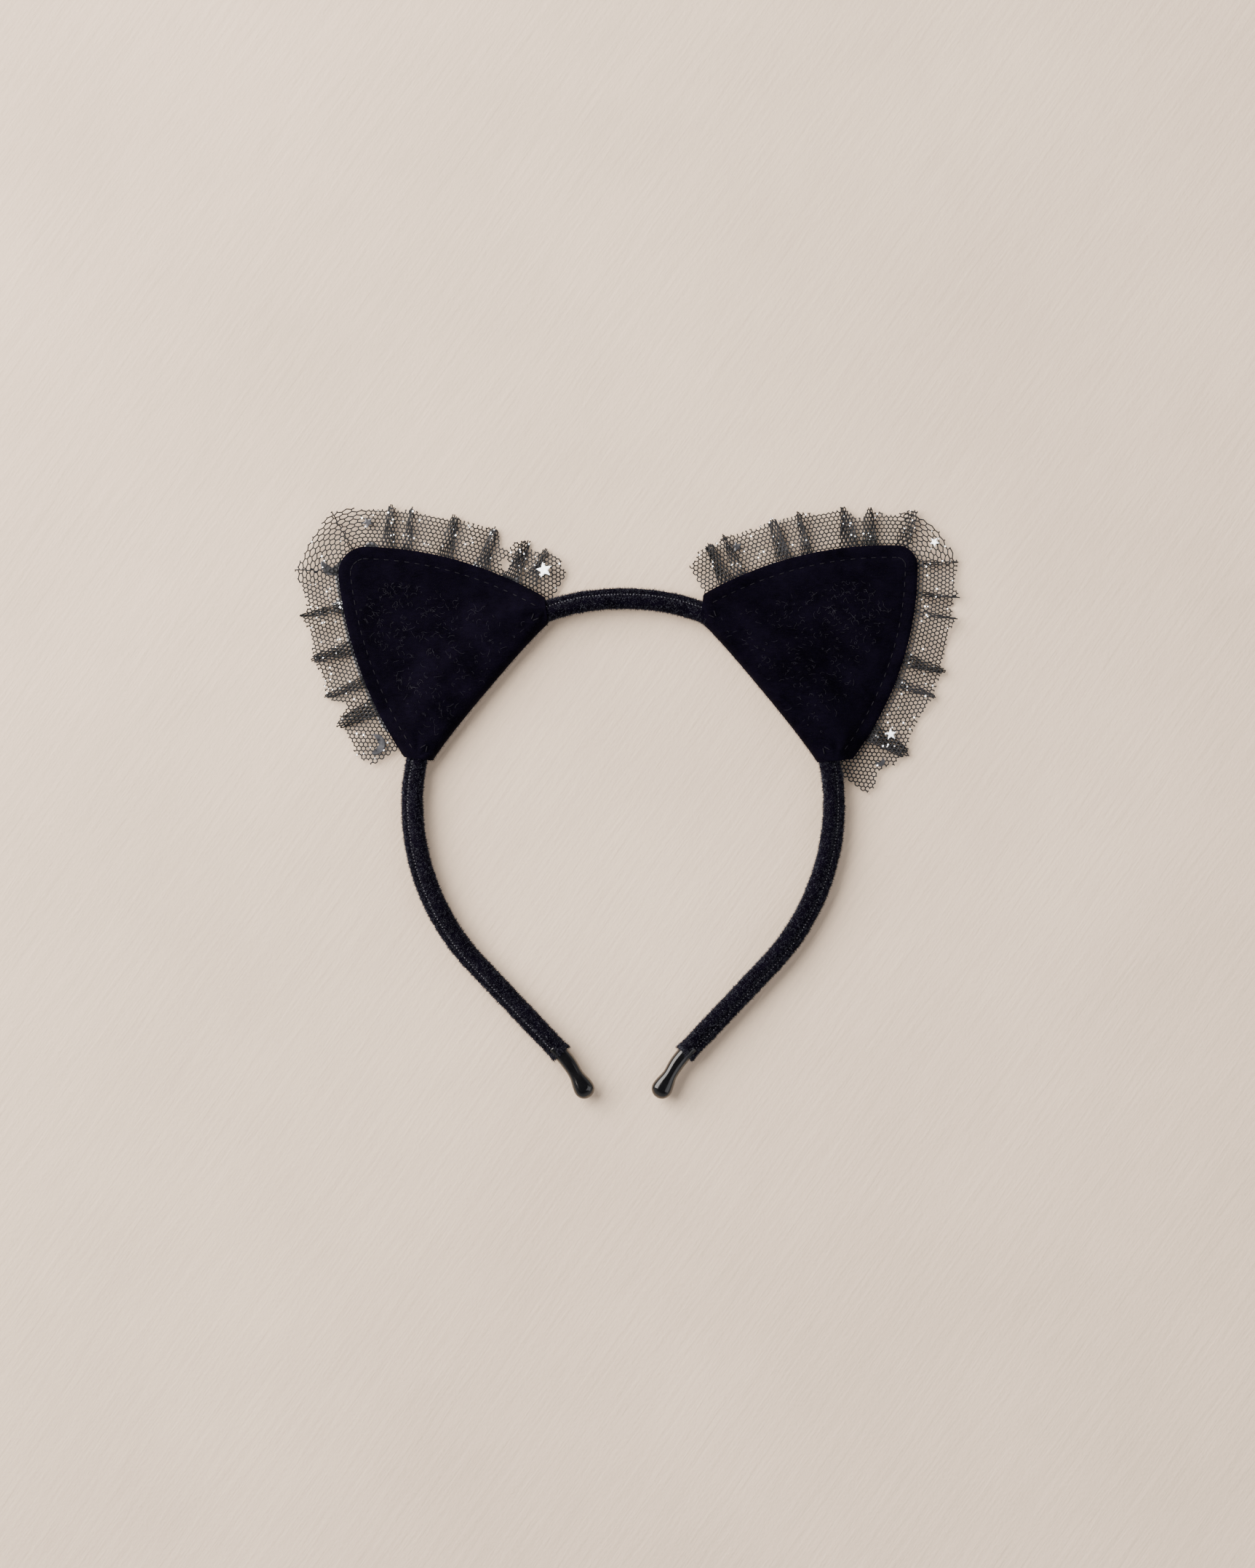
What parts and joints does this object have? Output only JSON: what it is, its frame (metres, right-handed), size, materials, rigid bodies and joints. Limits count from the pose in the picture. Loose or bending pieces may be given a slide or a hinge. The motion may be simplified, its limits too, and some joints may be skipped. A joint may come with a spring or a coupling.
{
  "type": "animal ears headband",
  "caption": "Child's fancy dress headband: sprung band in black velvet with glossy tips and two velvet cat ears, each edged with gathered black net and foil stars and moons.",
  "frame": {"origin": "centre of the head arc, in the plane that the flat ears rest on", "axes": "+X to the right ear's side, +Y from the tips towards the crown, +Z out of the plane that the headband lies on"},
  "size_m": [0.1918, 0.1731, 0.0089],
  "materials": {
    "spring_steel": "plain spring strip",
    "velvet": "short black pile",
    "seam_thread": "fine filament stitches",
    "tip_cap": "glossy black",
    "felt": "stiff pressed felt",
    "tulle": "black hexagonal net",
    "black_thread": "spun sewing thread",
    "silver_foil": "metallised silver film",
    "gunmetal_foil": "metallised dark grey film"
  },
  "bodies": {
    "crown": {"spring_strip_crown": "spring_steel", "velvet_sleeve_crown": "velvet", "sleeve_seam_thread_crown": "seam_thread", "ear_cover_left": "velvet", "ear_stiffener_left": "felt", "tulle_ruffle_left": "tulle", "gathering_thread_left": "black_thread", "ear_topstitches_left": "black_thread", "tack_stitches_left": "black_thread", "star_sequins_left": "silver_foil", "moon_sequins_left": "gunmetal_foil", "ear_cover_right": "velvet", "ear_stiffener_right": "felt", "tulle_ruffle_right": "tulle", "gathering_thread_right": "black_thread", "ear_topstitches_right": "black_thread", "tack_stitches_right": "black_thread", "star_sequins_right": "silver_foil", "moon_sequins_right": "gunmetal_foil"},
    "left_arm": {"spring_strip_left": "spring_steel", "velvet_sleeve_left": "velvet", "sleeve_seam_thread_left": "seam_thread", "tip_cap_left": "tip_cap"},
    "right_arm": {"spring_strip_right": "spring_steel", "velvet_sleeve_right": "velvet", "sleeve_seam_thread_right": "seam_thread", "tip_cap_right": "tip_cap"}
  },
  "joints": [
    {"name": "left_arm_flex", "type": "hinge", "parent": "crown", "child": "left_arm", "pos_m": [-0.0607, -0.01029, 0.0043], "axis": [0, 0, -1], "range_deg": [-5, 30], "stiffness_Nm_per_rad": 0.35},
    {"name": "right_arm_flex", "type": "hinge", "parent": "crown", "child": "right_arm", "pos_m": [0.0607, -0.01029, 0.0043], "axis": [0, 0, 1], "range_deg": [-5, 30], "stiffness_Nm_per_rad": 0.35}
  ]
}
